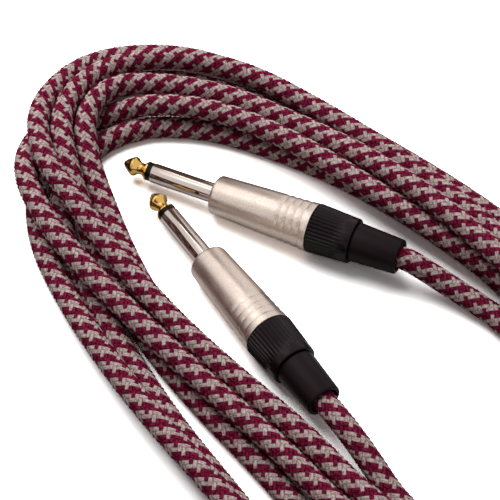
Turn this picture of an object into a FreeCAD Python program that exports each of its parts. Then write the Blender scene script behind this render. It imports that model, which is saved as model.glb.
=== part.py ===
import FreeCAD, Part
import Sketcher
import math
import os

# An instrument cable: a flat bundle of braided cord lying on a table, with a mono plug on
# each end. Each plug is turned metal and plastic round one axis. The cord is one tube in
# three pieces: two leads that leave the plugs, and a coil of six rounds between them.

os.makedirs("parts", exist_ok=True)
doc = FreeCAD.newDocument("InstrumentCable")
V = FreeCAD.Vector

# Driving dimensions in mm and degrees. Names ending in _x are distances from a plug's nose
# along its axis, names ending in _r are radii.

DIMS = [
    ("nose_r", 0.6), ("nose_round", 0.5), ("ball_r", 3.0), ("ball_front_x", 3.3),
    ("ball_rear_x", 4.1), ("ball_round", 0.7), ("waist_r", 2.0), ("waist_front_x", 6.0),
    ("waist_rear_x", 7.0), ("tip_flange_r", 3.0), ("tip_flange_x", 8.4),
    ("ring_front_x", 9.0), ("ring_rear_x", 10.6), ("ring_r", 3.0), ("rod_r", 1.15),
    ("rod_end_x", 42.1), ("sleeve_r", 3.175), ("sleeve_bore_r", 1.9), ("flange_r", 4.95),
    ("flange_front_x", 34.9), ("flange_rear_x", 37.1), ("insulator_r", 2.9),
    ("insulator_rear_x", 38.6), ("shell_front_x", 32.9), ("shell_front_r", 6.3),
    ("shell_hole_r", 3.02), ("shank_r", 3.0), ("shell_rear_x", 66.75), ("shell_rear_r", 7.7),
    ("shell_bore_r", 4.95), ("shell_thread_r", 6.5), ("shell_shoulder_x", 53.1),
    ("shell_rim", 1.2), ("groove_x", 53.5), ("groove_pitch", 2.6), ("groove_width", 0.5),
    ("groove_deep", 0.25), ("liner_front_x", 39.1), ("liner_rear_x", 52.6),
    ("liner_wall", 0.45), ("chuck_front_x", 53.7), ("chuck_r", 5.3), ("chuck_bore_r", 3.55),
    ("chuck_taper_x", 64.1), ("chuck_rear_x", 69.1), ("chuck_rear_r", 4.5),
    ("slot_width", 0.8), ("slot_length", 12.0), ("nut_front_x", 67.1), ("nut_front_r", 7.85),
    ("nut_rear_x", 80.9), ("nut_rear_r", 7.1), ("nut_edge", 0.4), ("spigot_front_x", 58.1),
    ("spigot_r", 6.42), ("nut_bore_r", 5.38), ("nut_seat_x", 69.5), ("nut_seat_r", 4.516),
    ("nut_exit_r", 3.85), ("socket_x", 72.6), ("socket_r", 5.6), ("rib_depth", 0.55),
    ("rib_width", 0.6), ("rib_length", 12.5), ("boot_neck_x", 81.7), ("boot_front_r", 6.15),
    ("boot_rear_x", 96.0), ("boot_rear_r", 5.15), ("boot_bore_r", 3.85), ("boot_edge", 0.9),
    ("cord_r", 3.5), ("jacket_front_x", 55.1), ("core_r", 1.4), ("core_front_x", 46.6),
    ("wire_r", 0.45), ("shield_r", 0.8), ("shield_off", 2.6), ("shield_front_x", 45.1),
    ("solder_r", 1.6), ("solder_front_x", 43.3), ("solder_rear_x", 45.3),
    ("solder_edge", 0.5), ("joint_length", 1.5), ("cut_over", 0.5),
    ("lug_thick", 0.8), ("lug_width", 2.6), ("tip_lug_off", 1.6), ("tip_lug_r", 2.4),
    ("tip_lug_end_x", 47.1), ("ring_lug_off", 3.4), ("ring_lug_bore_r", 3.0),
    ("ring_lug_end_x", 48.1),
    ("nose_a_x", -54.9), ("nose_a_y", 1.95), ("nose_b_x", -38.9), ("nose_b_y", -1.95),
    ("nose_z", 4.861), ("splay", 15.5), ("tilt", 2.6),
]
RIBS = 40
SLOTS = 4
GROOVES = 5

sheet = doc.addObject("Spreadsheet::Sheet", "Dims")
for row, (alias, value) in enumerate(DIMS, 1):
    sheet.set("A%d" % row, alias)
    sheet.set("B%d" % row, str(value))
    sheet.setAlias("B%d" % row, alias)
doc.recompute()
D = dict(DIMS)


def number(text):
    """The value of an expression that holds only sheet names and arithmetic."""
    for alias in sorted(D, key=len, reverse=True):
        text = text.replace("Dims." + alias, "(%.9f)" % D[alias])
    return float(FreeCAD.Units.parseQuantity(text).Value)


def plane(body, role):
    return [f for f in body.Origin.OriginFeatures if f.Role == role][0]


def bound(sketch, kind, line, end, text):
    """Hold one end of a sketch line at a distance from the origin that the sheet drives."""
    index = sketch.addConstraint(Sketcher.Constraint(kind, -1, 1, line, end, number(text)))
    sketch.setExpression("Constraints[%d]" % index, text)


def closed_sketch(sketch, outline):
    """A closed run of lines through the outline's points, each point driven by the sheet."""
    spots = [V(number(x), number(y), 0) for x, y in outline]
    count = len(spots)
    for i in range(count):
        sketch.addGeometry(Part.LineSegment(spots[i], spots[(i + 1) % count]), False)
    for i in range(count):
        sketch.addConstraint(Sketcher.Constraint("Coincident", i, 2, (i + 1) % count, 1))
    for i, (x, y) in enumerate(outline):
        if x == "0":
            sketch.addConstraint(Sketcher.Constraint("PointOnObject", i, 1, -2))
        else:
            bound(sketch, "DistanceX", i, 1, x)
        if y == "0":
            sketch.addConstraint(Sketcher.Constraint("PointOnObject", i, 1, -1))
        else:
            bound(sketch, "DistanceY", i, 1, y)


def rim(feature, x, r):
    """The name of the circular edge of radius r at distance x along the axis."""
    best = None
    for i, edge in enumerate(feature.Shape.Edges, 1):
        if isinstance(edge.Curve, Part.Circle):
            gap = abs(edge.Curve.Radius - r) + abs(edge.Curve.Center.x - x)
            if best is None or gap < best[0]:
                best = (gap, "Edge%d" % i)
    return best[1]


def turned(name, outline, rounded=()):
    """A body turned round the plug's axis; rounded lists edges as x, r and their radius."""
    body = doc.addObject("PartDesign::Body", name)
    sketch = body.newObject("Sketcher::SketchObject", name + "_outline")
    sketch.AttachmentSupport = [(plane(body, "XY_Plane"), "")]
    sketch.MapMode = "FlatFace"
    closed_sketch(sketch, outline)
    turn = body.newObject("PartDesign::Revolution", name + "_turn")
    turn.Profile = sketch
    turn.ReferenceAxis = (sketch, ["H_Axis"])
    turn.Angle = 360
    doc.recompute()
    last = turn
    for i, (x, r, size) in enumerate(rounded):
        fillet = body.newObject("PartDesign::Fillet", "%s_round%d" % (name, i))
        fillet.Base = (last, [rim(last, number(x), number(r))])
        fillet.setExpression("Radius", size)
        doc.recompute()
        last = fillet
    body.Tip = last
    return body


def tube(name, front, rear, bore, outer):
    """A plain turned sleeve, or a solid cylinder where the bore is 0."""
    return turned(name, [(front, bore), (front, outer), (rear, outer), (rear, bore)])


def cut_round(body, name, outline, start, length, count, forward):
    """Cut one straight slot along the axis and repeat it round the axis."""
    sketch = body.newObject("Sketcher::SketchObject", name + "_outline")
    sketch.AttachmentSupport = [(plane(body, "YZ_Plane"), "")]
    sketch.MapMode = "FlatFace"
    sketch.setExpression("AttachmentOffset.Base.z", start)
    closed_sketch(sketch, outline)
    doc.recompute()
    before = body.Shape.Volume
    pocket = body.newObject("PartDesign::Pocket", name + "_cut")
    pocket.Profile = sketch
    pocket.Type = 0
    pocket.setExpression("Length", length)
    pocket.Reversed = forward
    doc.recompute()
    pattern = body.newObject("PartDesign::PolarPattern", name + "_pattern")
    pattern.Originals = [pocket]
    pattern.Axis = (sketch, ["N_Axis"])
    pattern.Angle = 360
    pattern.Occurrences = count
    body.Tip = pattern
    doc.recompute()
    assert body.Shape.Volume < before - 1


def shell_outline():
    """The shell's half section, with the shallow grooves of its rear third."""
    slope = "((Dims.shell_rear_r - Dims.shell_front_r) / (Dims.shell_rear_x - Dims.shell_front_x))"
    cone = "Dims.shell_front_r + (%s - Dims.shell_front_x) * " + slope
    points = [("Dims.shell_front_x", "Dims.shell_hole_r"),
              ("Dims.shell_front_x", "Dims.shell_front_r")]
    for i in range(GROOVES):
        left = "(Dims.groove_x + %d * Dims.groove_pitch)" % i
        right = "(Dims.groove_x + %d * Dims.groove_pitch + Dims.groove_width)" % i
        points.append((left, cone % left))
        points.append((left, cone % left + " - Dims.groove_deep"))
        points.append((right, cone % right + " - Dims.groove_deep"))
        points.append((right, cone % right))
    return points + [("Dims.shell_rear_x", "Dims.shell_rear_r"),
                     ("Dims.shell_rear_x", "Dims.shell_thread_r"),
                     ("Dims.shell_shoulder_x", "Dims.shell_thread_r"),
                     ("Dims.shell_shoulder_x", "Dims.shell_bore_r"),
                     ("Dims.flange_front_x", "Dims.shell_bore_r"),
                     ("Dims.flange_front_x", "Dims.shell_hole_r")]


def lug(name, bore, ring_front, ring_rear, ring_outer, offset, side, end_x):
    """A terminal: a ring round the axis with a flat tongue that runs back beside the cord."""
    body = tube(name, ring_front, ring_rear, bore, ring_outer)
    sketch = body.newObject("Sketcher::SketchObject", name + "_tongue_outline")
    sketch.AttachmentSupport = [(plane(body, "YZ_Plane"), "")]
    sketch.MapMode = "FlatFace"
    sketch.setExpression("AttachmentOffset.Base.z", ring_front)
    low = side + offset
    high = side + "(%s + Dims.lug_thick)" % offset
    closed_sketch(sketch, [("-Dims.lug_width / 2", low), ("Dims.lug_width / 2", low),
                           ("Dims.lug_width / 2", high), ("-Dims.lug_width / 2", high)])
    pad = body.newObject("PartDesign::Pad", name + "_tongue")
    pad.Profile = sketch
    pad.setExpression("Length", "%s - %s" % (end_x, ring_front))
    doc.recompute()
    body.Tip = pad
    return body


def stick(name, start, end, radius, offset):
    """A straight wire beside the axis, on the side of the outer terminal."""
    wire = doc.addObject("Part::Cylinder", name)
    wire.setExpression("Radius", radius)
    wire.setExpression("Height", "%s - %s" % (end, start))
    doc.recompute()
    local = FreeCAD.Placement(V(number(start), 0, -number(offset)),
                              FreeCAD.Rotation(V(0, 1, 0), 90))
    wire.Placement = local
    return wire


def plug(side):
    """All the pieces of one plug along its own axis, from the nose to the boot."""
    made = []
    made.append(turned("tip_contact_" + side, [
        ("0", "0"), ("0", "Dims.nose_r"), ("Dims.ball_front_x", "Dims.ball_r"),
        ("Dims.ball_rear_x", "Dims.ball_r"), ("Dims.waist_front_x", "Dims.waist_r"),
        ("Dims.waist_rear_x", "Dims.waist_r"), ("Dims.tip_flange_x", "Dims.tip_flange_r"),
        ("Dims.ring_front_x", "Dims.tip_flange_r"), ("Dims.ring_front_x", "Dims.rod_r"),
        ("Dims.rod_end_x", "Dims.rod_r"), ("Dims.rod_end_x", "0")],
        [("Dims.ball_front_x", "Dims.ball_r", "Dims.ball_round"),
         ("Dims.ball_rear_x", "Dims.ball_r", "Dims.ball_round"),
         ("0", "Dims.nose_r", "Dims.nose_round")]))
    made.append(tube("tip_insulator_" + side, "Dims.ring_front_x", "Dims.ring_rear_x",
                     "Dims.rod_r", "Dims.ring_r"))
    made.append(tube("insulating_tube_" + side, "Dims.ring_rear_x", "Dims.flange_rear_x",
                     "Dims.rod_r", "Dims.sleeve_bore_r"))
    made.append(turned("sleeve_contact_" + side, [
        ("Dims.ring_rear_x", "Dims.sleeve_bore_r"), ("Dims.ring_rear_x", "Dims.sleeve_r"),
        ("Dims.shell_front_x", "Dims.sleeve_r"), ("Dims.shell_front_x", "Dims.shank_r"),
        ("Dims.flange_front_x", "Dims.shank_r"), ("Dims.flange_front_x", "Dims.flange_r"),
        ("Dims.flange_rear_x", "Dims.flange_r"), ("Dims.flange_rear_x", "Dims.sleeve_bore_r")]))
    made.append(tube("rear_insulator_" + side, "Dims.flange_rear_x", "Dims.insulator_rear_x",
                     "Dims.rod_r", "Dims.insulator_r"))
    made.append(lug("tip_terminal_" + side, "Dims.rod_r", "Dims.insulator_rear_x",
                    "(Dims.insulator_rear_x + Dims.lug_thick)", "Dims.tip_lug_r",
                    "Dims.tip_lug_off", "", "Dims.tip_lug_end_x"))
    made.append(lug("ground_terminal_" + side, "Dims.ring_lug_bore_r", "Dims.flange_rear_x",
                    "(Dims.flange_rear_x + Dims.lug_thick)", "Dims.shell_bore_r",
                    "Dims.ring_lug_off", "-", "Dims.ring_lug_end_x"))
    made.append(turned("shell_" + side, shell_outline(),
                       [("Dims.shell_front_x", "Dims.shell_front_r", "Dims.shell_rim")]))
    made.append(tube("shell_liner_" + side, "Dims.liner_front_x", "Dims.liner_rear_x",
                     "(Dims.shell_bore_r - Dims.liner_wall)", "Dims.shell_bore_r"))
    chuck = turned("chuck_" + side, [
        ("Dims.chuck_front_x", "Dims.chuck_bore_r"), ("Dims.chuck_front_x", "Dims.chuck_r"),
        ("Dims.chuck_taper_x", "Dims.chuck_r"), ("Dims.chuck_rear_x", "Dims.chuck_rear_r"),
        ("Dims.chuck_rear_x", "Dims.chuck_bore_r")])
    cut_round(chuck, "chuck_slot_" + side, [
        ("-Dims.slot_width / 2", "(Dims.chuck_bore_r - Dims.cut_over)"),
        ("Dims.slot_width / 2", "(Dims.chuck_bore_r - Dims.cut_over)"),
        ("Dims.slot_width / 2", "(Dims.chuck_r + Dims.cut_over)"),
        ("-Dims.slot_width / 2", "(Dims.chuck_r + Dims.cut_over)")],
        "Dims.chuck_rear_x", "Dims.slot_length", SLOTS, False)
    made.append(chuck)
    nut = turned("gland_nut_" + side, [
        ("Dims.spigot_front_x", "Dims.nut_bore_r"), ("Dims.spigot_front_x", "Dims.spigot_r"),
        ("Dims.nut_front_x", "Dims.spigot_r"), ("Dims.nut_front_x", "Dims.nut_front_r"),
        ("Dims.nut_rear_x", "Dims.nut_rear_r"), ("Dims.nut_rear_x", "Dims.socket_r"),
        ("Dims.socket_x", "Dims.socket_r"), ("Dims.socket_x", "Dims.nut_exit_r"),
        ("Dims.nut_seat_x", "Dims.nut_exit_r"), ("Dims.nut_seat_x", "Dims.nut_seat_r"),
        ("Dims.chuck_taper_x", "Dims.nut_bore_r")],
        [("Dims.nut_rear_x", "Dims.nut_rear_r", "Dims.nut_edge")])
    cut_round(nut, "nut_rib_" + side, [
        ("-Dims.rib_width / 2", "(Dims.nut_front_r - Dims.rib_depth)"),
        ("Dims.rib_width / 2", "(Dims.nut_front_r - Dims.rib_depth)"),
        ("Dims.rib_width / 2", "(Dims.nut_front_r + Dims.cut_over)"),
        ("-Dims.rib_width / 2", "(Dims.nut_front_r + Dims.cut_over)")],
        "Dims.nut_front_x", "Dims.rib_length", RIBS, True)
    made.append(nut)
    made.append(turned("boot_" + side, [
        ("Dims.socket_x", "Dims.boot_bore_r"), ("Dims.socket_x", "Dims.socket_r"),
        ("Dims.boot_neck_x", "Dims.socket_r"), ("Dims.boot_neck_x", "Dims.boot_front_r"),
        ("Dims.boot_rear_x", "Dims.boot_rear_r"), ("Dims.boot_rear_x", "Dims.boot_bore_r")],
        [("Dims.boot_rear_x", "Dims.boot_rear_r", "Dims.boot_edge")]))
    made.append(tube("jacket_end_" + side, "Dims.jacket_front_x", "Dims.boot_rear_x",
                     "0", "Dims.cord_r"))
    made.append(tube("core_insulation_" + side, "Dims.core_front_x", "Dims.jacket_front_x",
                     "Dims.wire_r", "Dims.core_r"))
    made.append(tube("centre_conductor_" + side, "Dims.rod_end_x", "Dims.jacket_front_x",
                     "0", "Dims.wire_r"))
    made.append(turned("tip_solder_" + side, [
        ("(Dims.solder_front_x - Dims.solder_edge)", "Dims.wire_r"), ("Dims.solder_front_x", "Dims.solder_r"),
        ("Dims.solder_rear_x", "Dims.solder_r"), ("(Dims.solder_rear_x + Dims.solder_edge)", "Dims.wire_r")]))
    made.append(stick("shield_pigtail_" + side, "Dims.shield_front_x", "Dims.jacket_front_x",
                      "Dims.shield_r", "Dims.shield_off"))
    made.append(stick("ground_solder_" + side, "(Dims.shield_front_x - Dims.joint_length)",
                      "Dims.shield_front_x", "Dims.shield_r", "Dims.shield_off"))
    nose = V(D["nose_%s_x" % side], D["nose_%s_y" % side], D["nose_z"])
    splay = D["splay"] if side == "a" else -D["splay"]
    turn = FreeCAD.Rotation(V(0, 0, 1), splay).multiply(FreeCAD.Rotation(V(0, 1, 0), -D["tilt"]))
    seat = FreeCAD.Placement(nose, turn)
    for item in made:
        item.Placement = seat.multiply(item.Placement)
        item.Label = item.Name
    return made, seat


plug_a, seat_a = plug("a")
plug_b, seat_b = plug("b")

# The coil. STATIONS are twenty places round the loop's middle line, clockwise seen from
# above. ROUNDS gives every round's place in the bundle at each station: its lane, counted
# inwards from the outer edge, and its layer above the table.

CORD_R = D["cord_r"]
LANE = 7.9
LAYER = 6.9
BOTTOM = 3.0
MID_LANE = 1.5
STATIONS = [
    (81.5, -61.5), (52.5, -54), (25.5, -49.5), (-1.5, -44), (-27, -36),
    (-48.7, -26.2), (-67.2, -14.5), (-79.3, 1), (-80.5, 20), (-68.5, 36),
    (-47, 45), (-21, 49), (6.5, 51), (35.5, 51), (65.5, 49),
    (95, 41.5), (125, 28), (149, 0), (149, -36), (120, -59)]
ROUNDS = [
    (16, [(3.92, .46), (3.95, 1.24), (3.85, 1.15), (3.7, 1.08)]),
    (0, [(3.65, 1), (3.33, 1), (2.9, 1.05), (2.55, 1.12), (2.18, 1.3),
         (1.62, 1.7), (.73, 1.93), (.2, 1.42), (-.35, .75), (-.7, .05),
         (-.45, 0), (-.15, 0), (-.12, 0), (-.2, 0), (-.12, 0),
         (-.1, 0), (-.05, 0), (-.12, 0), (-.42, .15), (-.45, .78)]),
    (0, [(-.2, 1), (-.18, .98), (-.2, .85), (-.2, .65), (-.1, .2),
         (-.1, 0), (.53, 0), (1.55, 0), (2.7, .4), (3.22, 1.05),
         (2.8, 1.1), (2.57, 1.12), (2.63, 1.1), (2.68, 1.1), (2.3, 1.05),
         (2.6, 1.08), (2.87, 1.08), (2.78, 1.1), (2.7, 1.1), (2.64, 1.03)]),
    (0, [(2.65, 1), (2.33, 1), (1.95, 1.02), (1.57, 1.12), (.97, 1.12),
         (.3, 1.15), (-.12, 1.04), (.4, 0), (.9, 0), (.8, 0),
         (.8, 0), (.85, 0), (.95, 0), (1, 0), (1, 0),
         (1.3, 0), (1.9, 0), (2.35, 0), (2.85, 0), (3, 0)]),
    (0, [(3.05, 0), (2.8, 0), (2.6, 0), (2.6, 0), (2.76, 0),
         (2.89, .1), (2.66, .95), (2.25, 1.4), (1.78, 1.22), (2, 1),
         (1.76, 1), (1.6, .97), (1.64, 1.42), (2.14, 2.18), (2.5, 2.22),
         (2.08, 2.12), (1.84, 1.4), (1.73, .93), (1.72, .4), (1.78, .1)]),
    (0, [(1.85, 0), (1.7, 0), (1.6, 0), (1.62, 0), (1.82, 0),
         (1.91, .25), (1.74, 1.56), (1.2, 1.54), (.66, 1.15), (.35, 1.02),
         (.2, 1), (.42, 1), (.58, 1), (.82, 1.08), (1.3, 1.11),
         (1.02, 1.1), (.8, 1), (.67, .85), (.64, .55), (.52, .15)]),
    (0, [(.3, 0), (.3, 0), (.45, 0), (.62, 0), (.84, 0),
         (.87, 0), (1.5, 0), (3.1, 0), (3.68, 0), (3.74, 0),
         (3.2, 0), (2.55, 0), (2.15, 0), (2, 0), (2, 0),
         (2.4, 0), (2.9, 0), (3.4, .08)])]
LEAD_A = [V(59.4, 31.6, 7), V(72, 31.6, 4.3), V(86.6, 27.8, 3.9)]
LEAD_B = [V(75.2, -33.2, 6.9), V(86.2, -36.6, 4.4), V(98, -37.2, 3.6),
          V(109.3, -33.6, 3.6), V(118.6, -26.2, 3.6)]
FIRST_RUN = 11.0
END_RUN = 16.0
ARC_SHARE = 0.45


def station_point(index, lane, layer):
    """A point of the bundle: across the loop by lanes, up by layers."""
    count = len(STATIONS)
    here = STATIONS[index]
    back = STATIONS[(index - 1) % count]
    ahead = STATIONS[(index + 1) % count]
    along = V(ahead[0] - back[0], ahead[1] - back[1], 0)
    along.normalize()
    out = V(-along.y, along.x, 0)
    reach = (MID_LANE - lane) * LANE
    return V(here[0], here[1], BOTTOM + LAYER * layer) + out * reach


def end_point(end, outside):
    """The coil's end: on the straight line to the lead's last own point."""
    away = outside - end
    away.normalize()
    return end + away * END_RUN


coil_points = []
for first, lanes in ROUNDS:
    for step, (lane, layer) in enumerate(lanes):
        coil_points.append(station_point(first + step, lane, layer))
coil_points.insert(0, end_point(coil_points[0], LEAD_A[-1]))
coil_points.append(end_point(coil_points[-1], LEAD_B[-1]))


def unit(vector):
    return V(vector).normalize()


def arc_edge(start, tangent, end):
    """The arc that leaves start along the tangent and passes through end, and its radius."""
    chord = end - start
    normal = tangent.cross(chord)
    if normal.Length < 1e-6 * chord.Length:
        return Part.LineSegment(start, end).toShape(), 1e6
    normal.normalize()
    inward = normal.cross(tangent)
    radius = chord.Length ** 2 / (2 * chord.dot(inward))
    centre = start + inward * radius
    top = unit((start + end) * 0.5 - centre)
    return Part.Arc(start, centre + top * abs(radius), end).toShape(), abs(radius)


def biarc(start, leave, end, arrive):
    """Two arcs that join start to end along the two given directions."""
    span = end - start
    both = leave + arrive
    square = 2 * (1 - leave.dot(arrive))
    if square < 1e-9:
        return [(Part.LineSegment(start, end).toShape(), 1e6)]
    dot = span.dot(both)
    reach = (-dot + math.sqrt(dot * dot + square * span.dot(span))) / square
    knee = start + leave * reach
    elbow = end - arrive * reach
    middle = (knee + elbow) * 0.5
    return [arc_edge(start, leave, middle), arc_edge(middle, unit(elbow - knee), end)]


def sweep(name, edges, start, direction):
    """The round tube along a chain of edges."""
    ring = Part.Wire([Part.Circle(start, direction, CORD_R).toShape()])
    solid = Part.Wire(edges).makePipeShell([ring], True, False)
    length = sum(edge.Length for edge in edges)
    share = solid.Volume / (length * math.pi * CORD_R ** 2)
    print("%s length %.1f mm, volume over section times length %.4f" % (name, length, share))
    return solid


def coil_solid():
    """The coil: from middle to middle of its points by two arcs, with straight ends."""
    middles = [(a + b) * 0.5 for a, b in zip(coil_points, coil_points[1:])]
    directions = [unit(b - a) for a, b in zip(coil_points, coil_points[1:])]
    edges = [Part.LineSegment(coil_points[0], middles[0]).toShape()]
    least = 1e6
    for i in range(len(middles) - 1):
        for edge, radius in biarc(middles[i], directions[i], middles[i + 1], directions[i + 1]):
            edges.append(edge)
            least = min(least, radius)
    edges.append(Part.LineSegment(middles[-1], coil_points[-1]).toShape())
    print("coil smallest bend radius %.1f mm" % least)
    track = []
    step = 2.0
    for edge in edges:
        parts = max(1, int(edge.Length / step))
        for i in range(parts):
            span = edge.LastParameter - edge.FirstParameter
            track.append(edge.valueAt(edge.FirstParameter + span * i / parts))
    gap = 1e6
    skip = 20
    near = 8.0
    for i in range(len(track)):
        for j in range(i + skip, len(track)):
            if abs(track[i].x - track[j].x) < near and abs(track[i].y - track[j].y) < near:
                far = track[i].distanceToPoint(track[j])
                if far < gap:
                    gap = far
                    where = track[i]
    print("coil least gap to itself %.2f mm near %s" % (gap - 2 * CORD_R, where))
    solid = sweep("coil", edges, coil_points[0], directions[0])
    reach = 400.0
    table = Part.makeBox(reach, reach, CORD_R, V(-reach / 2, -reach / 2, -CORD_R))
    return solid.cut(table)


def lead_solid(name, points):
    """A lead: straight runs joined by arcs that touch both runs."""
    edges = []
    here = points[0]
    least = 1e6
    for i in range(1, len(points) - 1):
        back = unit(points[i] - points[i - 1])
        ahead = unit(points[i + 1] - points[i])
        short = min(points[i].distanceToPoint(points[i - 1]),
                    points[i + 1].distanceToPoint(points[i]))
        half = back.getAngle(ahead) / 2
        cut = ARC_SHARE * short
        radius = cut / math.tan(half)
        least = min(least, radius)
        start = points[i] - back * cut
        end = points[i] + ahead * cut
        inward = unit(ahead - back)
        centre = points[i] + inward * (radius / math.cos(half))
        middle = centre - inward * radius
        edges.append(Part.LineSegment(here, start).toShape())
        edges.append(Part.Arc(start, middle, end).toShape())
        here = end
    edges.append(Part.LineSegment(here, points[-1]).toShape())
    print("%s smallest bend radius %.1f mm" % (name, least))
    return sweep(name, edges, points[0], unit(points[1] - points[0]))


def exit_points(seat):
    """The two points where a lead leaves its boot along the plug's axis."""
    return [seat.multVec(V(D["boot_rear_x"], 0, 0)),
            seat.multVec(V(D["boot_rear_x"] + FIRST_RUN, 0, 0))]


lead_a_points = exit_points(seat_a) + LEAD_A + [coil_points[0]]
lead_b_points = exit_points(seat_b) + LEAD_B + [coil_points[-1]]
cord = []
for name, solid in (("cord_coil", coil_solid()),
                    ("cord_lead_a", lead_solid("cord_lead_a", lead_a_points)),
                    ("cord_lead_b", lead_solid("cord_lead_b", lead_b_points))):
    feature = doc.addObject("Part::Feature", name)
    feature.Shape = solid
    feature.Placement = FreeCAD.Placement()
    feature.Label = name
    cord.append(feature)

doc.recompute()
for item in plug_a + plug_b + cord:
    assert not ({"Invalid", "Error"} & set(item.State)), item.Name
    assert not item.Shape.isNull() and item.Shape.isValid(), item.Name
    assert len(item.Shape.Solids) == 1, item.Name
    item.Shape.exportStep("parts/%s.step" % item.Name)
box = None
for item in plug_a + plug_b:
    box = item.Shape.BoundBox if box is None else box.united(item.Shape.BoundBox)
print("plugs box", [round(n, 2) for n in (box.XMin, box.YMin, box.ZMin, box.XMax, box.YMax, box.ZMax)])
print("pieces", len(plug_a + plug_b + cord))
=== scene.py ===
import bpy
import math
from mathutils import Matrix, Vector


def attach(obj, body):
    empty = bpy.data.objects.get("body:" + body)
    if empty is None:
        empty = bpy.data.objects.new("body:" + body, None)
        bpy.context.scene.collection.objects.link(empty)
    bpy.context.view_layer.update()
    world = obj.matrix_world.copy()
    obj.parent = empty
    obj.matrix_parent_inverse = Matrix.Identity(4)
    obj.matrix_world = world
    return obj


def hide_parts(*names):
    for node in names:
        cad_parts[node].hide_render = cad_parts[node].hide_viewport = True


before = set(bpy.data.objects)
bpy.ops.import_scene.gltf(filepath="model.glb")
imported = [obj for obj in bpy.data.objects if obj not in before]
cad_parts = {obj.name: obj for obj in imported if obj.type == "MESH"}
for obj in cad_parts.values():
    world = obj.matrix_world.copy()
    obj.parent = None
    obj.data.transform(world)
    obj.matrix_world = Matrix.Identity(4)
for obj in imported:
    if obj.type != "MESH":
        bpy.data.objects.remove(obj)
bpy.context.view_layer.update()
for thing in bpy.context.selected_objects:
    thing.select_set(False)

# Camera: a long lens about half a metre away, some fifty degrees above the table, as a
# small object is photographed for a catalogue. The loop's far end runs out of its view.

CAMERA_AT = (0.2013, -0.2268, 0.3929)
CAMERA_AIM = (-0.0036, 0.00483, 0.0)
LENS_MM = 115.7
SENSOR_MM = 36.0

camera_data = bpy.data.cameras.new("camera")
camera_data.lens = LENS_MM
camera_data.sensor_width = SENSOR_MM
camera_data.clip_start = 0.01
camera = bpy.data.objects.new("camera", camera_data)
bpy.context.scene.collection.objects.link(camera)
camera.location = CAMERA_AT
look = Vector(CAMERA_AIM) - Vector(CAMERA_AT)
camera.rotation_euler = look.to_track_quat("-Z", "Y").to_euler()
bpy.context.scene.camera = camera
bpy.context.scene.view_settings.view_transform = "Standard"

# Cord: one screened cable in a woven polyester jacket, from plug to plug. It leaves each boot
# straight, is wound by hand into a flat bundle of six rounds, and lies on the table. In
# millimetres, STATIONS are places round the loop, and ROUNDS has the lane and layer at each.

PLUGS = {"a": (Vector((-0.0549, 0.00195, 0.004861)), 15.5),
         "b": (Vector((-0.0389, -0.00195, 0.004861)), -15.5)}
TILT = math.radians(2.6)
BOOT_END = 0.096
LANE = 7.9
LAYER = 6.9
BOTTOM = 3.0
MID_LANE = 1.5
FIRST_RUN = {"a": 0.003, "b": 0.011}
END_RUN = 0.016
INSIDE_BOOT = 0.006
CURVE_STEPS = 40
STATIONS = [
    (81.5, -61.5), (52.5, -54), (25.5, -49.5), (-1.5, -44), (-27, -36),
    (-48.7, -26.2), (-67.2, -14.5), (-79.3, 1), (-80.5, 20), (-68.5, 36),
    (-47, 45), (-21, 49), (6.5, 51), (35.5, 51), (65.5, 49),
    (95, 41.5), (125, 28), (149, 0), (149, -36), (120, -59)]
ROUNDS = [
    (16, [(3.92, .46), (3.95, 1.24), (3.85, 1.15), (3.7, 1.08)]),
    (0, [(3.65, 1), (3.33, 1), (2.9, 1.05), (2.55, 1.12), (2.18, 1.3),
         (1.62, 1.7), (.73, 1.93), (.2, 1.42), (-.35, .75), (-.7, .05),
         (-.45, 0), (-.15, 0), (-.12, 0), (-.2, 0), (-.12, 0),
         (-.1, 0), (-.05, 0), (-.12, 0), (-.42, .15), (-.45, .78)]),
    (0, [(-.3, 1), (-.38, .98), (-.37, .85), (-.22, .65), (-.1, .2),
         (-.1, 0), (.53, 0), (1.55, 0), (2.7, .4), (3.22, 1.05),
         (2.8, 1.1), (2.57, 1.12), (2.63, 1.1), (2.68, 1.1), (2.3, 1.05),
         (2.6, 1.08), (2.87, 1.08), (2.78, 1.1), (2.7, 1.1), (2.64, 1.03)]),
    (0, [(2.65, 1), (2.33, 1), (1.95, 1.02), (1.57, 1.12), (.97, 1.12),
         (.3, 1.15), (-.12, 1.04), (.4, 0), (.9, 0), (.8, 0),
         (.8, 0), (.85, 0), (.95, 0), (1, 0), (1, 0),
         (1.3, 0), (1.9, 0), (2.35, 0), (2.85, 0), (3, 0)]),
    (0, [(3.05, 0), (2.8, 0), (2.6, 0), (2.6, 0), (2.76, 0),
         (2.89, .1), (2.66, .95), (2.25, 1.4), (1.78, 1.22), (2, 1),
         (1.76, 1), (1.6, .97), (1.64, 1.42), (2.14, 2.18), (2.5, 2.22),
         (2.08, 2.12), (1.84, 1.4), (1.73, .93), (1.72, .4), (1.78, .1)]),
    (0, [(1.85, 0), (1.7, 0), (1.6, 0), (1.62, 0), (1.82, 0),
         (1.91, .25), (1.74, 1.56), (1.2, 1.54), (.66, 1.15), (.35, 1.02),
         (.2, 1), (.42, 1), (.58, 1), (.82, 1.08), (1.3, 1.11),
         (1.02, 1.1), (.8, 1), (.67, .85), (.64, .55), (.52, .15)]),
    (0, [(.2, 0), (.1, 0), (.28, 0), (.66, 0), (.86, 0),
         (.87, 0), (1.5, 0), (3.1, 0), (3.72, 0), (3.64, 0),
         (3.08, 0), (2.55, 0), (2.15, 0), (2, 0), (2, 0),
         (2.4, 0), (2.9, 0), (3.4, .08)])]
LEAD_A = [(52.6, 31.0, 5.8), (62.4, 32.0, 4.4), (71.5, 32.4, 4), (86.6, 27.8, 3.9)]
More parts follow.
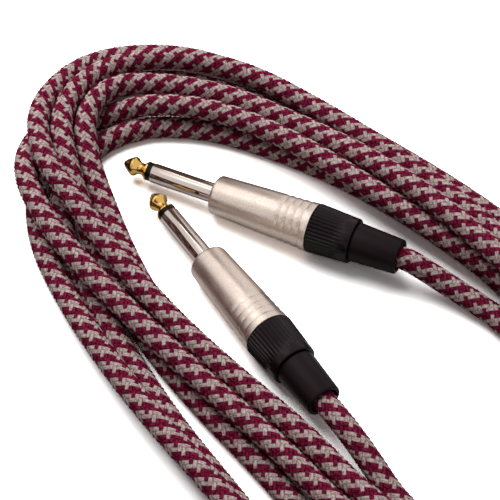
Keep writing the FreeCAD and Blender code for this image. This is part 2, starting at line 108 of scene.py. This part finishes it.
LEAD_B = [(75.2, -33.2, 6.9), (86.2, -36.6, 4.4), (98, -37.2, 3.6),
          (109.3, -33.6, 3.6), (118.6, -26.2, 3.6)]


def plug_point(side, along):
    """A point on a plug's axis, at a distance from its nose."""
    nose, splay = PLUGS[side]
    yaw = math.radians(splay)
    flat = math.cos(TILT)
    return nose + along * Vector((flat * math.cos(yaw), flat * math.sin(yaw), math.sin(TILT)))


def bundle_point(index, lane, layer):
    """A point of the bundle: across the loop by lanes, up by layers."""
    here = Vector(STATIONS[index])
    back = Vector(STATIONS[(index - 1) % len(STATIONS)])
    ahead = Vector(STATIONS[(index + 1) % len(STATIONS)])
    along = (ahead - back).normalized()
    spot = here + Vector((-along.y, along.x)) * (MID_LANE - lane) * LANE
    return Vector((spot.x, spot.y, BOTTOM + LAYER * layer)) / 1000


bundle = [bundle_point(first + step, *place)
          for first, places in ROUNDS for step, place in enumerate(places)]
lead_a = [Vector(p) / 1000 for p in LEAD_A]
lead_b = [Vector(p) / 1000 for p in LEAD_B]
bundle.insert(0, bundle[0] + (lead_a[-1] - bundle[0]).normalized() * END_RUN)
bundle.append(bundle[-1] + (lead_b[-1] - bundle[-1]).normalized() * END_RUN)
route = [plug_point("a", BOOT_END - INSIDE_BOOT), plug_point("a", BOOT_END),
         plug_point("a", BOOT_END + FIRST_RUN["a"])]
route += lead_a + bundle + lead_b[::-1]
route += [plug_point("b", BOOT_END + FIRST_RUN["b"]), plug_point("b", BOOT_END),
          plug_point("b", BOOT_END - INSIDE_BOOT)]

line = bpy.data.curves.new("cord_line", "CURVE")
line.dimensions = "3D"
line.resolution_u = CURVE_STEPS
spline = line.splines.new("NURBS")
spline.points.add(len(route) - 1)
for point, spot in zip(spline.points, route):
    point.co = (*spot, 1)
spline.order_u = 3
spline.use_endpoint_u = True
line_object = bpy.data.objects.new("cord_line", line)
bpy.context.scene.collection.objects.link(line_object)
bpy.context.view_layer.update()
line_mesh = bpy.data.meshes.new_from_object(line_object)
track = [v.co.copy() for v in line_mesh.vertices]
bpy.data.meshes.remove(line_mesh)
bpy.data.objects.remove(line_object)
bpy.data.curves.remove(line)

# The woven jacket: twelve yarns wound each way, each over two and under two. Two beige and two
# wine yarns in turn each way give the slanting blocks. The mesh has a low corner between yarns
# and a high crown on each crossing, and one ridged strip of eight faces for each yarn on top.

YARNS = 12
LAY = 0.0208
GROOVE_R = 0.00334
CROWN_R = 0.00362
TABLE_GAP = 0.00005
AROUND = 2 * YARNS

far = [0.0]
for a, b in zip(track, track[1:]):
    far.append(far[-1] + (b - a).length)
rows = 2 * round(far[-1] / LAY * YARNS) + 1
across = Vector((0, 0, 1)).cross(track[1] - track[0])
corners = []
crown = []
segment = 0
for row in range(rows):
    want = row * far[-1] / (rows - 1)
    while segment < len(track) - 2 and far[segment + 1] < want:
        segment += 1
    share = (want - far[segment]) / (far[segment + 1] - far[segment])
    middle = track[segment].lerp(track[segment + 1], share)
    along = (track[segment + 1] - track[segment]).normalized()
    across = (across - along * across.dot(along)).normalized()
    above = along.cross(across)
    for step in range(AROUND):
        turn = 2 * math.pi * step / AROUND
        raised = (step + row) % 2
        reach = CROWN_R if raised else GROOVE_R
        spot = middle + (across * math.cos(turn) + above * math.sin(turn)) * reach
        spot.z = max(spot.z, TABLE_GAP)
        corners.append(spot)
        crown.append(float(raised))

# A yarn's strip in its own measure, one unit to a crossing: across 0 to 1, along 0 to 2. It
# reaches up to two rows before or behind its own.
STRIP = [(0, 0), (1, 0), (0, 1), (1, 1), (0, 2), (1, 2), (0.5, 0.5), (0.5, 1.5)]
STRIP_FACES = [(0, 1, 6), (1, 3, 6), (3, 7, 6), (7, 2, 6),
               (2, 0, 6), (3, 5, 7), (5, 4, 7), (4, 2, 7)]
STRIP_REACH = 2
WINE_TURNS = (False, False, True, True)
faces = []
wine = []
weave = []
for row in range(STRIP_REACH, rows - STRIP_REACH, 2):
    for step in range(0, AROUND, 2):
        first, second = (step - row) // 2, (step + row) // 2
        rising = step % 4 == 0
        numbers = []
        for u, v in STRIP:
            p, q = (first + u, second + v) if rising else (first + v, second + u)
            numbers.append(int(q - p) * AROUND + int(p + q) % AROUND)
        is_wine = WINE_TURNS[(first if rising else second) % 4]
        for trio in STRIP_FACES:
            trio = trio if rising else trio[::-1]
            faces.append([numbers[k] for k in trio])
            wine.append(int(is_wine))
            for k in trio:
                weave.extend(STRIP[k])


def srgb(code):
    """A colour written as six hex digits, in the linear light that Blender's shaders take."""
    parts = [int(code[k:k + 2], 16) / 255 for k in (0, 2, 4)]
    return (*(c / 12.92 if c <= 0.04045 else ((c + 0.055) / 1.055) ** 2.4 for c in parts), 1)


def node(material, kind, links=(), **settings):
    """Adds one shader node. links: (socket, value or the output that feeds it)."""
    tree = material.node_tree
    made = tree.nodes.new("ShaderNode" + kind)
    for key, value in settings.items():
        setattr(made, key, value)
    for socket, value in links:
        if isinstance(value, bpy.types.NodeSocket):
            tree.links.new(value, made.inputs[socket])
        else:
            made.inputs[socket].default_value = value
    return made


def new_material(name):
    """A material with no nodes yet."""
    material = bpy.data.materials.new(name)
    material.use_nodes = True
    material.node_tree.nodes.clear()
    return material


# One unit of the weave is a yarn's width, about 1.26 mm, so five to a unit are 0.25 mm apart.
# The fuzz is in tufts of 0.7 mm.
FILAMENTS = (5.0, 0.8, 1.0)
FUZZ_SCALE = 1400.0
TUFT_FROM, TUFT_TO = 0.78, 1.2
GROOVE_SHADE_ENDS = 0.4


def yarn(name, colour, shade, groove_shade_keep, sheen):
    """Spun polyester yarn, dyed: soft and matte, with filaments along it, and painted shade that
    darkens its edge where it dives under the next yarn. The filaments are drawn 0.25 mm apart, far
    coarser than real ones, so that they show. The fourth argument is how much of the colour the
    painted shade leaves at the edge."""
    made = new_material(name)
    uv = node(made, "UVMap", uv_map="weave")
    lines = node(made, "Mapping", [("Vector", uv.outputs["UV"]), ("Scale", FILAMENTS)])
    fibre = node(made, "TexNoise", [("Vector", lines.outputs[0]), ("Scale", 1.0), ("Detail", 2.0)])
    spot = node(made, "TexCoord")
    fuzz = node(made, "TexNoise", [("Vector", spot.outputs["Object"]), ("Scale", FUZZ_SCALE),
                                   ("Detail", 3.0)])
    both = node(made, "Math", [(0, fibre.outputs[0]), (1, fuzz.outputs[0])])
    tuft = node(made, "MapRange", [("Value", both.outputs[0]), ("From Min", TUFT_FROM),
                                   ("From Max", TUFT_TO)])
    tone = node(made, "Mix", [(0, tuft.outputs[0]), (6, srgb(shade)), (7, srgb(colour))],
                data_type="RGBA")
    # Painted shade: the colour is multiplied darker towards each yarn's low edge, by its crown
    # height, where it dives under the next yarn.
    high = node(made, "Attribute", attribute_name="crown")
    edge = node(made, "MapRange", [("Value", high.outputs["Fac"]), ("From Max", GROOVE_SHADE_ENDS),
                                   ("To Min", groove_shade_keep)], interpolation_type="SMOOTHSTEP")
    deep = node(made, "Mix", [(0, 1.0), (6, tone.outputs[2]), (7, edge.outputs[0])],
                data_type="RGBA", blend_type="MULTIPLY")
    bump = node(made, "Bump", [("Height", fibre.outputs[0]), ("Strength", 0.5),
                               ("Distance", 0.0002)])
    skin = node(made, "BsdfPrincipled", [
        ("Base Color", deep.outputs[2]), ("Roughness", 0.85), ("Specular IOR Level", 0.04),
        ("Sheen Weight", sheen), ("Sheen Roughness", 0.4), ("Normal", bump.outputs[0])])
    node(made, "OutputMaterial", [("Surface", skin.outputs[0])])
    return made


jacket_mesh = bpy.data.meshes.new("cord")
jacket_mesh.from_pydata(corners, [], faces)
jacket_mesh.uv_layers.new(name="weave").data.foreach_set("uv", weave)
jacket_mesh.attributes.new("crown", "FLOAT", "POINT").data.foreach_set("value", crown)
# Spun polyester dyed a greyish beige: it looks dusty and soft, with the faintest sheen. Painted
# shade darkens it to half where it dives under.
jacket_mesh.materials.append(yarn("beige_polyester_yarn", "F0DCD8", "9E7A77", 0.5, 0.04))
# The same yarn dyed wine red: deep and matte, and painted shade makes it nearly black where it
# dives under.
jacket_mesh.materials.append(yarn("wine_polyester_yarn", "A82C54", "3E0316", 0.3, 0.0))
jacket_mesh.polygons.foreach_set("material_index", wine)
jacket_mesh.update()
cord = bpy.data.objects.new("cord", jacket_mesh)
bpy.context.scene.collection.objects.link(cord)
bpy.context.view_layer.objects.active = cord
cord.select_set(True)
bpy.ops.object.mode_set(mode="EDIT")
bpy.ops.mesh.select_all(action="SELECT")
bpy.ops.mesh.delete_loose(use_verts=True, use_edges=True, use_faces=False)
bpy.ops.mesh.select_all(action="SELECT")
bpy.ops.mesh.fill_holes(sides=0)
bpy.ops.object.mode_set(mode="OBJECT")
bpy.ops.object.shade_smooth()
cord.select_set(False)

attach(cord, "cable")
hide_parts("cord_coil", "cord_lead_a", "cord_lead_b")

# Tip contact: one brass rod with a ball, a waist and a flange at its end, turned on a lathe,
# gold plated and polished. It runs through the middle of the plug to its terminal.

SIDES = "ab"
NO_ROLL = {"a": 0.0, "b": 0.0}
LATHE_STEPS = 96
CORNER_STEPS = 4
MERGE_WITHIN = 1e-6
NEAR_MM = 0.01
SMOOTH_BELOW = math.radians(35)
HANDLING_SCALE = 250.0
CLOUD_FROM, CLOUD_TO = 0.3, 0.7
PITS_FROM, PITS_TO = 0.3, 0.6


def metal(name, colour, roughness, handling, grain, grain_height):
    """Plated brass or bare metal: cloudy handling marks in the gloss, about 4 mm across, and a
    fine grain in the surface. handling is how far the marks shift the roughness, and grain is
    the size of the grain in metres."""
    made = new_material(name)
    spot = node(made, "TexCoord")
    cloud = node(made, "TexNoise", [("Vector", spot.outputs["Object"]), ("Scale", HANDLING_SCALE),
                                    ("Detail", 4.0)])
    rough = node(made, "MapRange", [("Value", cloud.outputs[0]), ("From Min", CLOUD_FROM),
                                    ("From Max", CLOUD_TO), ("To Min", roughness - handling),
                                    ("To Max", roughness + handling)])
    speck = node(made, "TexNoise", [("Vector", spot.outputs["Object"]), ("Scale", 1 / grain),
                                    ("Detail", 2.0)])
    bump = node(made, "Bump", [("Height", speck.outputs[0]), ("Strength", grain_height),
                               ("Distance", grain / 2)])
    pits = node(made, "MapRange", [("Value", speck.outputs[0]), ("From Min", PITS_FROM),
                                   ("From Max", PITS_TO), ("To Min", 1 - grain_height),
                                   ("To Max", 1)])
    tone = node(made, "Mix", [(0, 1.0), (6, srgb(colour)), (7, pits.outputs[0])],
                data_type="RGBA", blend_type="MULTIPLY")
    skin = node(made, "BsdfPrincipled", [
        ("Base Color", tone.outputs[2]), ("Metallic", 1.0), ("Roughness", rough.outputs[0]),
        ("Normal", bump.outputs[0])])
    node(made, "OutputMaterial", [("Surface", skin.outputs[0])])
    return made


def turned(name, profile, rounded=(), steps=LATHE_STEPS):
    """A lathe-turned shape along X. profile: millimetres from the nose and from the axis.
    rounded: (station, radius, size) of each ring edge that gets a rounded corner."""
    bpy.ops.mesh.primitive_plane_add(size=0.001, location=(0, 0, 0))
    made = bpy.context.active_object
    made.name = name
    bpy.ops.object.mode_set(mode="EDIT")
    bpy.ops.mesh.select_all(action="SELECT")
    bpy.ops.mesh.merge(type="CENTER")
    bpy.ops.transform.translate(value=(profile[0][0] / 1000, 0, profile[0][1] / 1000))
    for (x, r), (next_x, next_r) in zip(profile, profile[1:]):
        step = ((next_x - x) / 1000, 0, (next_r - r) / 1000)
        bpy.ops.mesh.extrude_region_move(TRANSFORM_OT_translate={"value": step})
    bpy.ops.mesh.select_all(action="SELECT")
    bpy.ops.mesh.spin(steps=steps, angle=2 * math.pi, center=(0, 0, 0), axis=(1, 0, 0))
    bpy.ops.mesh.select_all(action="SELECT")
    bpy.ops.mesh.remove_doubles(threshold=MERGE_WITHIN)
    bpy.ops.mesh.normals_make_consistent(inside=False)
    for x, r, size in rounded:
        bpy.ops.mesh.select_all(action="DESELECT")
        bpy.ops.object.mode_set(mode="OBJECT")
        on_ring = [abs(v.co.x * 1000 - x) < NEAR_MM
                   and abs(math.hypot(v.co.y, v.co.z) * 1000 - r) < NEAR_MM
                   for v in made.data.vertices]
        for edge in made.data.edges:
            edge.select = on_ring[edge.vertices[0]] and on_ring[edge.vertices[1]]
        bpy.ops.object.mode_set(mode="EDIT")
        bpy.ops.mesh.select_mode(type="EDGE")
        bpy.ops.mesh.bevel(offset=size / 1000, segments=CORNER_STEPS, affect="EDGES")
        bpy.ops.mesh.select_mode(type="VERT")
    bpy.ops.object.mode_set(mode="OBJECT")
    bpy.ops.object.shade_smooth_by_angle(angle=SMOOTH_BELOW)
    made.select_set(False)
    return made


def fit_to_plugs(made, material, body, roll=NO_ROLL):
    """One copy on each plug, in the place of the CAD node of its name, with its own mesh.
    roll: degrees that each copy is turned round its axis."""
    stem = made.name
    made.data.materials.append(material)
    for side in SIDES:
        copy = bpy.data.objects.new(stem + "_skin_" + side, made.data.copy())
        bpy.context.scene.collection.objects.link(copy)
        nose, splay = PLUGS[side]
        seat = Matrix.Translation(nose) @ Matrix.Rotation(math.radians(splay), 4, "Z")
        spin = Matrix.Rotation(math.radians(roll[side]), 4, "X")
        copy.data.transform(seat @ Matrix.Rotation(-TILT, 4, "Y") @ spin)
        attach(copy, body + side if body.endswith("_") else body)
        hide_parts(stem + "_" + side)
    bpy.data.objects.remove(made)


def finish_nodes(names, material):
    """A finish on the CAD's own pieces, which keep their shape."""
    for name in names:
        for side in SIDES:
            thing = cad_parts[name + "_" + side]
            thing.data.materials.clear()
            thing.data.materials.append(material)


# Gold plate on polished brass: a warm mirror, with soft highlights and few marks.
GOLD = metal("polished_gold_plate", "D8AE62", 0.14, 0.03, 0.0004, 0.02)
TIP_PROFILE = [
    (0, 0), (0.05, 0.35), (0.25, 0.7), (0.6, 1.08), (1.1, 1.55), (1.7, 2.03),
    (2.3, 2.44), (2.9, 2.8), (3.35, 3.04), (3.75, 3.17), (4.15, 3.1), (4.5, 2.9),
    (4.85, 2.58), (5.25, 2.25), (5.8, 1.98), (6.4, 1.88), (7.0, 1.95), (7.5, 2.2),
    (7.95, 2.58), (8.3, 2.92), (8.5, 3.08), (9.0, 3.1), (9.0, 1.15), (42.1, 1.15),
    (42.1, 0)]
fit_to_plugs(turned("tip_contact", TIP_PROFILE), GOLD, "cable")

# Insulators: a black acetal ring between tip and sleeve, a tube round the rod inside the sleeve,
# and a hard fibre washer behind it. They are pressed on as the plug is put together.

DULL_SCALE = 120.0
DULL_LOW, DULL_HIGH = 0.8, 1.2


def plastic(name, colour, roughness, grain, height, shine):
    """Moulded plastic or rubber: fine grain from the mould, and a dull shine that is uneven in
    patches of about 8 mm. grain is the size of the grain in metres."""
    made = new_material(name)
    spot = node(made, "TexCoord")
    speck = node(made, "TexNoise", [("Vector", spot.outputs["Object"]), ("Scale", 1 / grain),
                                    ("Detail", 3.0)])
    cloud = node(made, "TexNoise", [("Vector", spot.outputs["Object"]), ("Scale", DULL_SCALE)])
    rough = node(made, "MapRange", [("Value", cloud.outputs[0]), ("To Min", roughness * DULL_LOW),
                                    ("To Max", roughness * DULL_HIGH)])
    bump = node(made, "Bump", [("Height", speck.outputs[0]), ("Strength", height),
                               ("Distance", 0.0001)])
    skin = node(made, "BsdfPrincipled", [
        ("Base Color", srgb(colour)), ("Roughness", rough.outputs[0]),
        ("Specular IOR Level", shine), ("Normal", bump.outputs[0])])
    node(made, "OutputMaterial", [("Surface", skin.outputs[0])])
    return made


# Turned acetal: smooth and nearly black, with a low shine.
finish_nodes(["tip_insulator", "insulating_tube"],
             plastic("black_acetal", "120C0D", 0.3, 0.0004, 0.1, 0.12))
# Punched fibre sheet: dark grey, dry and rough.
finish_nodes(["rear_insulator"], plastic("vulcanised_fibre", "2A2422", 0.6, 0.0003, 0.4, 0.3))

# Sleeve contact: a brass tube of 6.35 mm with a flange that the shell holds, nickel plated and
# polished bright. Its front edge is broken, so that it slides into a socket.

# Nickel plate on polished brass: a slightly warm grey mirror.
NICKEL = metal("polished_nickel_plate", "C9BCB4", 0.12, 0.03, 0.0004, 0.02)
fit_to_plugs(turned("sleeve_contact", [
    (10.6, 1.9), (10.6, 2.98), (10.68, 3.1), (10.85, 3.175), (32.9, 3.175), (32.9, 3.0),
    (34.9, 3.0), (34.9, 4.95), (37.1, 4.95), (37.1, 1.9), (10.6, 1.9)]), NICKEL, "cable")

# Terminals: two tags stamped from brass sheet and tinned, one for the tip and one for the sleeve.
# The cord's wires are soldered to them.

# Tin dipped on brass: pale and dull, with cloudy patches.
finish_nodes(["tip_terminal", "ground_terminal"],
             metal("tinned_brass", "C6C1B8", 0.35, 0.08, 0.0003, 0.2))

# Wiring: the cord's end inside the plug, with its woven jacket, its white core, the copper
# conductor and the twisted copper screen, and a bead of solder on each tag.

# Drawn polyethylene is milky and waxy, bare copper orange and grainy from its strands, solder
# pale and half bright, and the jacket's end a matte wine red.
finish_nodes(["core_insulation"], plastic("white_polyethylene", "DEDCD4", 0.4, 0.0004, 0.1, 0.5))
finish_nodes(["centre_conductor", "shield_pigtail"],
             metal("bare_copper", "C07A50", 0.3, 0.08, 0.0002, 0.5))
finish_nodes(["tip_solder", "ground_solder"],
             metal("solder", "BDBDBD", 0.25, 0.08, 0.0005, 0.2))
finish_nodes(["jacket_end"], plastic("packed_yarn", "7C1534", 0.85, 0.0006, 0.8, 0.2))

# Shell: a slim brass cone that screws over the plug's back, bead blasted and nickel plated, so
# it is satin and slightly grainy. Its rear has four rings: stepped like shingles at both sides
# for the fingers, and only scribed across the flat fields on top and below.

SHELL_FRONT = (32.9, 6.3)
SHELL_REAR = (66.75, 7.7)
RINGS = (57.0, 59.45, 61.9, 64.35)
RING_SLOPE = 2.2
RING_TAIL = 0.4
SCRIBE_HALF = 0.14
STEP_DEEP = (0.01, 0.3)
SCRIBE_DEEP = (0.08, 0.38)
FIELD_EDGE = (37.6, 41.2)
# Each shell lies as it happened to be screwed on.
SHELL_ROLL = {"a": 0.0, "b": 30.0}


def shell_radius(x):
    """The cone's radius at a station."""
    share = (x - SHELL_FRONT[0]) / (SHELL_REAR[0] - SHELL_FRONT[0])
    return SHELL_FRONT[1] + share * (SHELL_REAR[1] - SHELL_FRONT[1])


shell_profile = [(SHELL_FRONT[0], 3.02), SHELL_FRONT]
for ring in RINGS:
    for x in (ring - RING_SLOPE, ring - SCRIBE_HALF, ring, ring + SCRIBE_HALF):
        shell_profile.append((x, shell_radius(x)))
shell_profile.append((RINGS[-1] + RING_TAIL, shell_radius(RINGS[-1] + RING_TAIL)))
shell_profile += [SHELL_REAR, (66.75, 6.5), (53.1, 6.5), (53.1, 4.95), (34.9, 4.95), (34.9, 3.02),
                  (SHELL_FRONT[0], 3.02)]
# Bead blasted nickel: a pale, broad shine with a fine grain, and no sharp reflections.
SATIN = metal("satin_nickel_plate", "E2D1C5", 0.36, 0.05, 0.0004, 0.2)
shell = turned("shell", shell_profile, [(*SHELL_FRONT, 1.2), (*SHELL_REAR, 0.3)])
for corner in shell.data.vertices:
    x, y, z = corner.co * 1000
    if math.hypot(y, z) < shell_radius(x) - NEAR_MM:
        continue
    lean = math.degrees(math.acos(min(1.0, abs(z) / math.hypot(y, z))))
    grip = max(0.0, min(1.0, (lean - FIELD_EDGE[0]) / (FIELD_EDGE[1] - FIELD_EDGE[0])))
    for ring in RINGS:
        for place, (field, side) in ((ring - SCRIBE_HALF, STEP_DEEP), (ring, SCRIBE_DEEP)):
            if abs(x - place) < NEAR_MM:
                keep = 1 - (field + grip * (side - field)) / math.hypot(y, z)
                corner.co.y *= keep
                corner.co.z *= keep
fit_to_plugs(shell, SATIN, "cable", SHELL_ROLL)

# Shell liner: a tube of clear polyester sheet, pushed into the shell to keep the terminals
# from touching it. No light gets to it, so it is drawn pale and glossy, not see-through.

finish_nodes(["shell_liner"], plastic("clear_polyester", "D8D8D2", 0.25, 0.0008, 0.05, 0.5))

# Chuck: a slotted collet of white nylon that the gland nut's cone closes on the cord. Moulded
# nylon is off-white, with a soft shine.

finish_nodes(["chuck"], plastic("white_nylon", "DEDCD4", 0.4, 0.0004, 0.1, 0.5))

# Gland nut: moulded black nylon with fine ribs that fade out towards the boot. It screws into
# the shell and clamps the cord.

NUT_FRONT = (67.1, 7.85)
NUT_REAR = (80.6, 7.1)
# RIB_SHAPE is how deep the surface is round one rib and its groove, in shares of the groove's
# depth, and RIB_DEEP is that depth at places along the nut, in millimetres.
RIBS = 40
RIB_SHAPE = (0.0, 0.22, 0.7, 0.95, 1.0, 0.95, 0.7, 0.22)
RIB_DEEP = ((67.1, 0.5), (74.6, 0.46), (76.0, 0.3), (77.2, 0.12), (78.2, 0.0))


def nut_radius(x):
    """The nut's radius at a station, over its ribs."""
    share = (x - NUT_FRONT[0]) / (NUT_REAR[0] - NUT_FRONT[0])
    return NUT_FRONT[1] + share * (NUT_REAR[1] - NUT_FRONT[1])


nut = turned("gland_nut", [(58.1, 5.38), (58.1, 6.42), (67.1, 6.42)] + [
    (x, nut_radius(x)) for x, _ in RIB_DEEP] + [
    NUT_REAR, (80.6, 5.6), (72.6, 5.6), (72.6, 3.85), (69.5, 3.85), (69.5, 4.516), (64.1, 5.38),
    (58.1, 5.38)], [(*NUT_REAR, 0.5)], RIBS * len(RIB_SHAPE))
for corner in nut.data.vertices:
    x, y, z = corner.co * 1000
    reach = math.hypot(y, z)
    part = round(math.atan2(z, y) / (2 * math.pi) * RIBS * len(RIB_SHAPE)) % len(RIB_SHAPE)
    for place, deep in RIB_DEEP:
        if abs(x - place) < NEAR_MM and abs(reach - nut_radius(x)) < NEAR_MM:
            corner.co.y *= 1 - deep * RIB_SHAPE[part] / reach
            corner.co.z *= 1 - deep * RIB_SHAPE[part] / reach
# Moulded nylon: black with a narrow shine along each rib.
NYLON = plastic("black_nylon", "190C10", 0.24, 0.0004, 0.1, 0.17)
fit_to_plugs(nut, NYLON, "gland_nut_")

# Boot: a black rubber cone, moulded and pushed into the gland nut, that keeps the cord from
# kinking where it leaves the plug. Its end is rounded, and its bore widens there, so that it
# clears the bent cord as the nut moves.

# Moulded rubber: softer and duller than the nut, with a fine grain.
RUBBER = plastic("black_rubber", "1A1013", 0.38, 0.0005, 0.25, 0.11)
fit_to_plugs(turned("boot", [
    (72.6, 3.85), (72.6, 5.6), (81.0, 5.6), (81.0, 6.17), (95.6, 5.45), (95.6, 4.35),
    (90.0, 3.85), (72.6, 3.85)], [(81.0, 6.17, 0.2), (95.6, 5.45, 0.6), (95.6, 4.35, 0.25)]),
    RUBBER, "gland_nut_")

# Table and studio: a round table of white paper that keeps a soft shadow, and one soft box that
# lights it but that shiny things don't show. They show glowing cards instead, which light nothing
# else: the dark and brown cards are painted dark reflections, and a silk and two tubes are painted
# highlights.

TABLE_R = 0.6
TABLE_SIDES = 96
bpy.ops.mesh.primitive_circle_add(vertices=TABLE_SIDES, radius=TABLE_R, fill_type="NGON",
                                  location=(0, 0, 0))
table = bpy.context.active_object
table.name = "table"
table.select_set(False)
# White paper, dull: how light it is for the light that it gives back, as metal shows it, and as
# the camera sees it, where it is white away from the shadow.
PAPER_LIT = 0.35
PAPER_IN_METAL = 0.8
PAPER_SEEN = 3.4
paper = new_material("white_paper")
ray = node(paper, "LightPath")
shiny = node(paper, "Math", [(0, ray.outputs["Is Glossy Ray"]),
                             (1, ray.outputs["Is Transmission Ray"])], operation="MAXIMUM")
grey = node(paper, "Math", [(0, shiny.outputs[0]), (1, PAPER_IN_METAL - PAPER_LIT),
                            (2, PAPER_LIT)], operation="MULTIPLY_ADD")
pale = node(paper, "Math", [(0, ray.outputs["Is Camera Ray"]), (1, PAPER_SEEN - PAPER_LIT),
                            (2, grey.outputs[0])], operation="MULTIPLY_ADD")
matte = node(paper, "BsdfDiffuse", [("Color", pale.outputs[0])])
node(paper, "OutputMaterial", [("Surface", matte.outputs[0])])
table.data.materials.append(paper)

SKY_STRENGTH = 0.11
world = bpy.data.worlds.new("studio")
world.use_nodes = True
bpy.context.scene.world = world
world.node_tree.nodes.clear()
ray = node(world, "LightPath")
seen = node(world, "Math", [(0, ray.outputs["Is Camera Ray"]), (1, ray.outputs["Is Glossy Ray"])],
            operation="MAXIMUM")
seen = node(world, "Math", [(0, seen.outputs[0]), (1, ray.outputs["Is Transmission Ray"])],
            operation="MAXIMUM")
level = node(world, "MapRange", [("Value", seen.outputs[0]), ("To Min", SKY_STRENGTH)])
sky = node(world, "Background", [("Color", srgb("FFFFFF")), ("Strength", level.outputs[0])])
node(world, "OutputWorld", [("Surface", sky.outputs[0])])


def card_colour(name, colour, strength):
    """What shiny things see of a card: one even colour."""
    made = new_material(name)
    face = node(made, "Emission", [("Color", srgb(colour)), ("Strength", strength)])
    node(made, "OutputMaterial", [("Surface", face.outputs[0])])
    return made


def facing(place):
    """The turn of a card or lamp at a place that faces the middle of the table."""
    return (-Vector(place)).to_track_quat("-Z", "Y").to_euler()


def card(name, around, up, away, wide, high, material):
    """A card that only shiny things see, placed by its bearing and its height in degrees, and
    by how far away it is."""
    turn, rise = math.radians(around), math.radians(up)
    place = away * Vector((math.cos(rise) * math.cos(turn), math.cos(rise) * math.sin(turn),
                           math.sin(rise)))
    bpy.ops.mesh.primitive_plane_add(size=1.0, location=place, rotation=facing(place))
    made = bpy.context.active_object
    made.name = name
    made.scale = (wide, high, 1.0)
    made.select_set(False)
    made.data.materials.append(material)
    made.visible_camera = False
    made.visible_diffuse = False
    made.visible_shadow = False
    made.visible_transmission = False


CARD_AWAY = 1.0
TUBE_AWAY = 0.9
# Each card glows with one plain colour that only shiny things see: the dark and brown ones paint
# dark reflections, and the silk and the tubes paint highlights. Plain colours will do, as nothing
# sees them but soft reflections.
DARK_REFLECTION_CARD = card_colour("dark_reflection_card", "4B2A27", 1.0)
BROWN_REFLECTION_CARD = card_colour("brown_reflection_card", "6A584F", 1.0)
card("flag_left", -152, 7, CARD_AWAY, 0.6, 0.7, DARK_REFLECTION_CARD)
card("flag_front", -100, 3, CARD_AWAY, 1.2, 0.55, DARK_REFLECTION_CARD)
card("flag_back", 143, 18, CARD_AWAY, 0.45, 0.85, BROWN_REFLECTION_CARD)
card("flag_camera", -62, 42, CARD_AWAY, 0.4, 0.5, BROWN_REFLECTION_CARD)
HIGHLIGHT_SILK = card_colour("highlight_silk", "FFFFFF", 1.5)
card("silk", -165, 60, CARD_AWAY, 0.6, 0.55, HIGHLIGHT_SILK)
HIGHLIGHT_TUBE = card_colour("highlight_tube", "FFFFFF", 5.0)
card("tube_a", -158, 66, TUBE_AWAY, 0.05, 0.5, HIGHLIGHT_TUBE)
card("tube_b", 156, 50, TUBE_AWAY, 0.05, 0.5, HIGHLIGHT_TUBE)

KEY_AT = (-0.55, 0.25, 0.95)
KEY_SIZE = 1.0
KEY_WATTS = 12.0
key_data = bpy.data.lights.new("soft_box", "AREA")
key_data.shape = "SQUARE"
key_data.size = KEY_SIZE
key_data.energy = KEY_WATTS
key = bpy.data.objects.new("soft_box", key_data)
bpy.context.scene.collection.objects.link(key)
key.location = KEY_AT
key.rotation_euler = facing(KEY_AT)
key.visible_glossy = False
